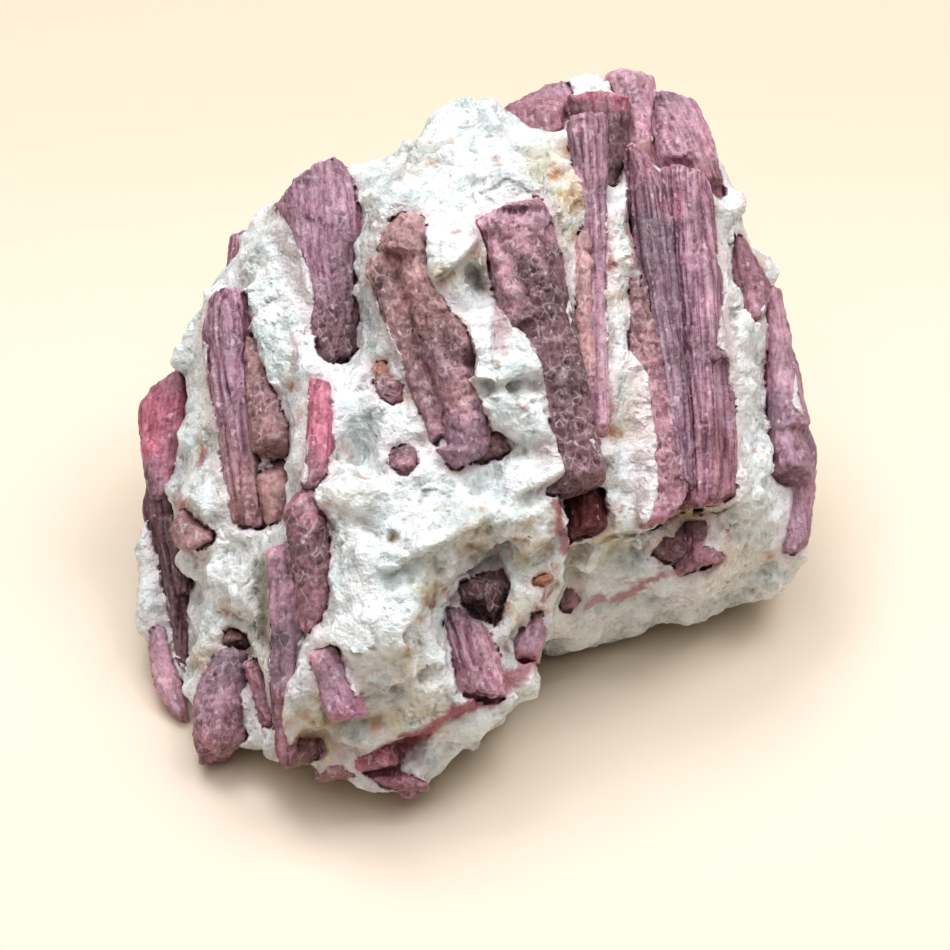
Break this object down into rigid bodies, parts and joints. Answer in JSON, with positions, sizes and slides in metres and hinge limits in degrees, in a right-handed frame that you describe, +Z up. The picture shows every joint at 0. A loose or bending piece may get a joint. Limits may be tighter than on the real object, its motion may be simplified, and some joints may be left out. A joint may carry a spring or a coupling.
{
  "type": "pink tourmaline crystals in albite matrix, rough hand specimen",
  "caption": "Rough mineral specimen: parallel striated pink tourmaline prisms set in a lump of white sugary albite, lying on a flat broken base.",
  "frame": {"origin": "centre of the bounding box's bottom, on the surface that the stone lies on", "axes": "+Z up from the table; the stone's broad crystal-bearing face slopes up and back, towards +Y, and faces -Y; +X is to the right seen from the front"},
  "size_m": [0.0694, 0.0721, 0.0447],
  "materials": {
    "albite": "broken, sugary, slightly translucent, with iron and pink stains",
    "tourmaline_pink": "glossy, striated lengthwise, crackled",
    "tourmaline_red": "glossy, striated, crackled at its broken ends",
    "tourmaline_mauve": "glossy to satin, finely striated",
    "tourmaline_plum": "satin, deeply striated, grainy where it is broken",
    "tourmaline_brown": "grainy, broken surface"
  },
  "bodies": {
    "root": {"matrix": "albite", "crystal_far_left": "tourmaline_red", "crystal_far_left_low": "tourmaline_plum", "crystal_left_strip": "tourmaline_pink", "crystal_left_long": "tourmaline_mauve", "crystal_left_brown": "tourmaline_brown", "crystal_left_foot": "tourmaline_pink", "crystal_upper_left": "tourmaline_mauve", "crystal_thin_red": "tourmaline_red", "crystal_pair_right": "tourmaline_brown", "crystal_pair_left": "tourmaline_mauve", "crystal_foot_patch": "tourmaline_red", "crystal_low_left": "tourmaline_plum", "crystal_low_left_stub": "tourmaline_brown", "crystal_low_sliver": "tourmaline_pink", "crystal_rim_left": "tourmaline_pink", "crystal_left_lump": "tourmaline_brown", "crystal_centre": "tourmaline_mauve", "crystal_centre_small": "tourmaline_pink", "crystal_centre_right": "tourmaline_pink", "crystal_recess_red": "tourmaline_plum", "crystal_long_thin": "tourmaline_mauve", "crystal_long_brown": "tourmaline_brown", "crystal_right_dark": "tourmaline_plum", "crystal_right_grainy": "tourmaline_brown", "crystal_right_big": "tourmaline_mauve", "crystal_back_right": "tourmaline_pink", "crystal_edge_inner": "tourmaline_red", "crystal_edge_outer": "tourmaline_pink", "crystal_top_red": "tourmaline_red", "crystal_top_left": "tourmaline_pink", "crystal_top_pink": "tourmaline_pink", "crystal_lobe_fan": "tourmaline_pink", "crystal_lobe_dark": "tourmaline_plum", "crystal_lobe_edge": "tourmaline_pink", "crystal_lobe_spot": "tourmaline_brown", "crystal_stub": "tourmaline_pink", "crystal_button": "tourmaline_brown", "crystal_small_brown": "tourmaline_brown", "crystal_under_right": "tourmaline_brown", "crystal_under_middle": "tourmaline_brown", "crystal_under_small": "tourmaline_brown", "crystal_front_red": "tourmaline_red", "crystal_front_left_red": "tourmaline_red", "crystal_back_upper": "tourmaline_mauve", "crystal_back_middle": "tourmaline_pink", "crystal_back_thin": "tourmaline_red", "crystal_back_low": "tourmaline_pink", "crystal_back_corner": "tourmaline_plum", "crystal_right_low": "tourmaline_pink", "crystal_left_back": "tourmaline_mauve"}
  },
  "joints": []
}
